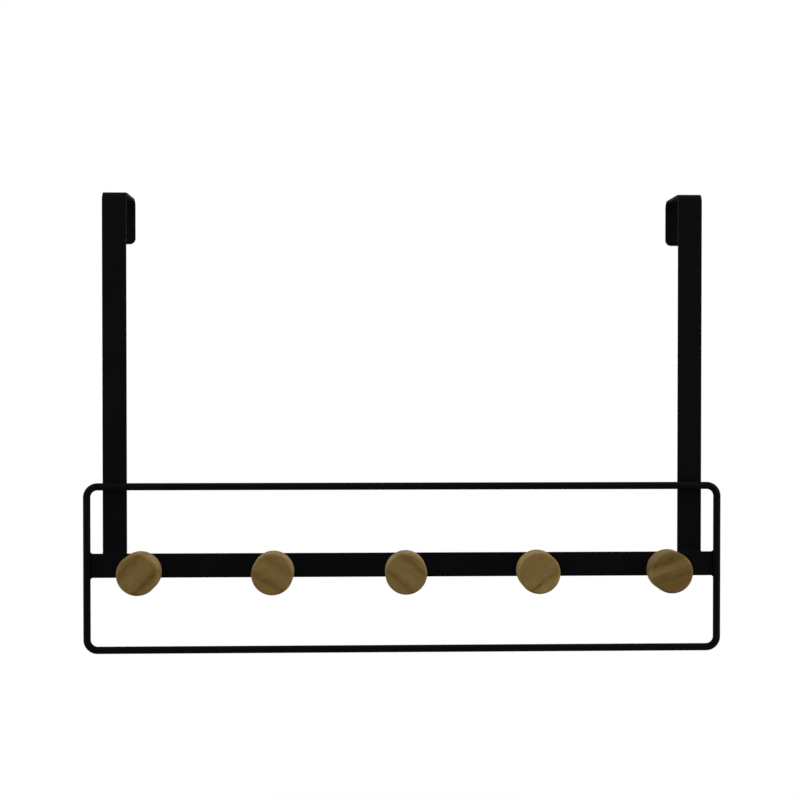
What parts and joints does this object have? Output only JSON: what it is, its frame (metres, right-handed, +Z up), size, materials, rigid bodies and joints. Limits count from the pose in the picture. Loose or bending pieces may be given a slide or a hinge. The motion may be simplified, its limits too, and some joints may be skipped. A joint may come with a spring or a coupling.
{
  "type": "over-door hook rack",
  "caption": "Over-door hook rack: a black wire frame and flat bar with wooden knobs on stems, hung by bent flat strips over a door's top edge.",
  "frame": {"origin": "midway between the hangers, on the door's front face, level with the door's top edge", "axes": "+X to the right along the bar, +Y from the viewer through the door, +Z up"},
  "size_m": [0.48, 0.097, 0.346],
  "materials": {
    "black_coat": "fine matt black powder coat",
    "knob_wood": "oiled plain wood, flat grain across the face",
    "screw_steel": "bright zinc",
    "insert_brass": "turned"
  },
  "bodies": {
    "root": {"hook_bar": "black_coat", "knob_1": "knob_wood", "knob_2": "knob_wood", "knob_3": "knob_wood", "knob_4": "knob_wood", "knob_5": "knob_wood", "knob_inserts": "insert_brass", "knob_screws": "screw_steel", "knob_stem_1": "black_coat", "knob_stem_2": "black_coat", "knob_stem_3": "black_coat", "knob_stem_4": "black_coat", "knob_stem_5": "black_coat", "left_bar_weld": "black_coat", "left_hanger": "black_coat", "left_hanger_welds": "black_coat", "right_bar_weld": "black_coat", "right_hanger": "black_coat", "right_hanger_welds": "black_coat", "wire_frame": "black_coat", "wire_joint_weld": "black_coat"}
  },
  "joints": []
}
